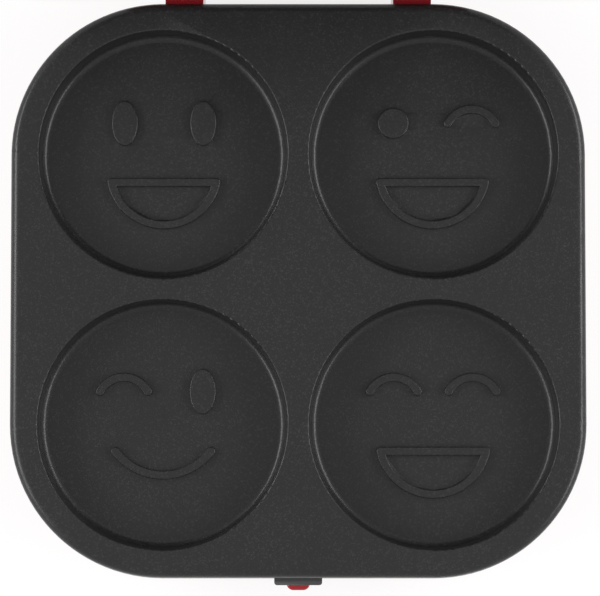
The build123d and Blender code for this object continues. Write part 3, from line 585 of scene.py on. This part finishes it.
skyLook = {
    "horizon": 0.4,
    "overhead": 0.7,
    "overheadFrom": 0.8,  # heights here are shares of the way up to straight above
    "stripGlow": 6.0,
    "stripFoot": (0.08, 0.2),  # heights, from dark to bright
    "stripTop": (0.55, 0.35),
    "stripNarrowness": 4.0,
}


def makeWorld():
    look = skyLook
    world = bpy.data.worlds.new("studioLight")
    bpy.context.scene.world = world
    world.use_nodes = True
    tree = world.node_tree
    tree.nodes.clear()
    split = addNode(tree, "ShaderNodeSeparateXYZ")
    wire(tree, addNode(tree, "ShaderNodeTexCoord").outputs["Generated"], split.inputs[0])
    height = split.outputs["Z"]
    rise = mapRange(tree, height, 0.0, look["overheadFrom"], look["horizon"], look["overhead"])
    foot = mapRange(tree, height, *look["stripFoot"], 0.0, 1.0)
    top = mapRange(tree, height, *look["stripTop"], 0.0, 1.0)
    sideways = mathNode(tree, "ABSOLUTE", split.outputs["X"])
    side = mathNode(tree, "POWER", sideways, look["stripNarrowness"])
    strip = mathNode(tree, "MULTIPLY", side, mathNode(tree, "MULTIPLY", foot, top))
    glow = mathNode(tree, "MULTIPLY", strip, look["stripGlow"])
    light = addNode(tree, "ShaderNodeBackground")
    wire(tree, mathNode(tree, "ADD", rise, glow), light.inputs["Strength"])
    white = addNode(tree, "ShaderNodeBackground")
    white.inputs["Color"].default_value = (1.0, 1.0, 1.0, 1.0)
    out = addNode(tree, "ShaderNodeOutputWorld")
    wire(tree, whiteForView(tree, light.outputs[0], white.outputs[0]), out.inputs["Surface"])


# One softbox on each side of the plate, above it and turned down to it

softboxLook = {
    "side": 1.25,
    "height": 0.7,
    "aimHeight": 0.05,
    "size": (1.5, 0.4),
    "power": 19.0,
}


def makeSoftboxes():
    look = softboxLook
    for name, side in (("softboxLeft", -1), ("softboxRight", 1)):
        lamp = bpy.data.lights.new(name, "AREA")
        lamp.shape = "RECTANGLE"
        lamp.size, lamp.size_y = look["size"]
        lamp.energy = look["power"]
        holder = bpy.data.objects.new(name, lamp)
        bpy.context.scene.collection.objects.link(holder)
        holder.location = (side * look["side"], plateMiddle.y, look["height"])
        aim = Vector((0, plateMiddle.y, look["aimHeight"])) - holder.location
        holder.rotation_euler = aim.to_track_quat("-Z", "Y").to_euler()


# Camera: nearly straight above, tipped a little towards the front

cameraLook = {
    "distance": 1.3,  # to the cooking face
    "tilt": 3.7,  # degrees
    "pixelsPerMm": 2.4007,
    "plateCentreX": 298.2,  # pixels, in the 600 x 596 frame
    "plateCentreY": 288.6,
    "frameWidth": 600,
    "frameHeight": 596,
    "sensorWidth": 36.0,  # mm
    "clipStart": 0.05,
}


def makeCamera():
    look = cameraLook
    camera = bpy.data.cameras.new("photoCamera")
    camera.sensor_width = look["sensorWidth"]
    perMetre = look["pixelsPerMm"] / mm
    camera.lens = perMetre * look["distance"] * camera.sensor_width / look["frameWidth"]
    camera.clip_start = look["clipStart"]
    holder = bpy.data.objects.new("photoCamera", camera)
    bpy.context.scene.collection.objects.link(holder)
    aimX = (look["frameWidth"] / 2 - look["plateCentreX"]) / perMetre
    aimY = (look["plateCentreY"] - look["frameHeight"] / 2) / perMetre
    aim = Vector((aimX, plateMiddle.y + aimY, plateHigh.z))
    tilt = math.radians(look["tilt"])
    holder.location = aim + look["distance"] * Vector((0, -math.sin(tilt), math.cos(tilt)))
    holder.rotation_euler = (tilt, 0, 0)
    bpy.context.scene.camera = holder


clearSelection()
makeFloor()
makeWorld()
makeSoftboxes()
makeCamera()
bpy.context.scene.view_settings.view_transform = "Standard"
print("studio ready")
